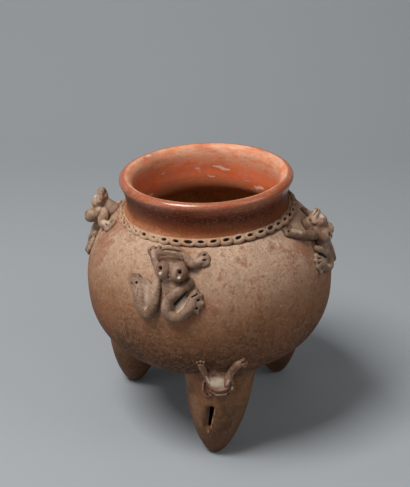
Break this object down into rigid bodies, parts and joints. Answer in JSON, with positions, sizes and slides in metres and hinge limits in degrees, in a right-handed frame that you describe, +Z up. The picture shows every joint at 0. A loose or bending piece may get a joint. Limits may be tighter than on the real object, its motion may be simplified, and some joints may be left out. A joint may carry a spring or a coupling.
{
  "type": "rattle vase",
  "caption": "Round clay rattle vase with a flared collar neck, a pinched strip, crouching frogs on its shoulder and hollow pointed feet that hold loose rattle pellets.",
  "frame": {"origin": "on the ground, at the middle of the vase's footprint", "axes": "+Z up, through the bowl and the mouth; -Y to the front, where one foot and its frog stand"},
  "size_m": [0.1756, 0.1751, 0.1849],
  "materials": {
    "bare_clay": "matt burnished clay, mottled tan and brown",
    "red_slip": "polished orange-red slip",
    "strip_clay": "matt clay with dark punched holes",
    "foot_clay": "matt reddish-brown clay",
    "frog_clay": "matt grey-brown clay",
    "pellet_clay": "rough fired clay"
  },
  "bodies": {
    "vase": {"bowl": "bare_clay", "neck": "red_slip", "neck_strip": "strip_clay", "front_foot": "foot_clay", "left_foot": "foot_clay", "right_foot": "foot_clay", "front_frog_body": "frog_clay", "front_frog_left_eye": "frog_clay", "front_frog_right_eye": "frog_clay", "front_frog_left_hindleg": "frog_clay", "front_frog_right_hindleg": "frog_clay", "front_frog_left_foreleg": "frog_clay", "front_frog_right_foreleg": "frog_clay", "right_frog_body": "frog_clay", "right_frog_left_eye": "frog_clay", "right_frog_right_eye": "frog_clay", "right_frog_left_hindleg": "frog_clay", "right_frog_right_hindleg": "frog_clay", "right_frog_left_foreleg": "frog_clay", "right_frog_right_foreleg": "frog_clay", "back_frog_body": "frog_clay", "back_frog_left_eye": "frog_clay", "back_frog_right_eye": "frog_clay", "back_frog_left_hindleg": "frog_clay", "back_frog_right_hindleg": "frog_clay", "back_frog_left_foreleg": "frog_clay", "back_frog_right_foreleg": "frog_clay", "left_frog_body": "frog_clay", "left_frog_left_eye": "frog_clay", "left_frog_right_eye": "frog_clay", "left_frog_left_hindleg": "frog_clay", "left_frog_right_hindleg": "frog_clay", "left_frog_left_foreleg": "frog_clay", "left_frog_right_foreleg": "frog_clay", "front_foot_frog_body": "frog_clay", "front_foot_frog_left_hindleg": "frog_clay", "front_foot_frog_right_hindleg": "frog_clay", "front_foot_frog_left_foreleg": "frog_clay", "front_foot_frog_right_foreleg": "frog_clay", "left_foot_frog_body": "frog_clay", "left_foot_frog_left_hindleg": "frog_clay", "left_foot_frog_right_hindleg": "frog_clay", "left_foot_frog_left_foreleg": "frog_clay", "left_foot_frog_right_foreleg": "frog_clay", "right_foot_frog_body": "frog_clay", "right_foot_frog_left_hindleg": "frog_clay", "right_foot_frog_right_hindleg": "frog_clay", "right_foot_frog_left_foreleg": "frog_clay", "right_foot_frog_right_foreleg": "frog_clay"},
    "front_left_pellet": {"front_foot_left_pellet": "pellet_clay"},
    "front_right_pellet": {"front_foot_right_pellet": "pellet_clay"},
    "left_left_pellet": {"left_foot_left_pellet": "pellet_clay"},
    "left_right_pellet": {"left_foot_right_pellet": "pellet_clay"},
    "right_left_pellet": {"right_foot_left_pellet": "pellet_clay"},
    "right_right_pellet": {"right_foot_right_pellet": "pellet_clay"}
  },
  "joints": [
    {"name": "front_left_pellet_rattle", "type": "slide", "parent": "vase", "child": "front_left_pellet", "axis": [0.0563, 0.1172, 0.9915], "range_m": [0, 0.0375]},
    {"name": "front_right_pellet_rattle", "type": "slide", "parent": "vase", "child": "front_right_pellet", "axis": [0.0563, 0.1172, 0.9915], "range_m": [0, 0.0375]},
    {"name": "left_left_pellet_rattle", "type": "slide", "parent": "vase", "child": "left_left_pellet", "axis": [0.1012, -0.0515, 0.9935], "range_m": [0, 0.038]},
    {"name": "left_right_pellet_rattle", "type": "slide", "parent": "vase", "child": "left_right_pellet", "axis": [0.1012, -0.0515, 0.9935], "range_m": [0, 0.038]},
    {"name": "right_left_pellet_rattle", "type": "slide", "parent": "vase", "child": "right_left_pellet", "axis": [-0.0895, -0.0699, 0.9935], "range_m": [0, 0.041]},
    {"name": "right_right_pellet_rattle", "type": "slide", "parent": "vase", "child": "right_right_pellet", "axis": [-0.0895, -0.0699, 0.9935], "range_m": [0, 0.041]}
  ]
}
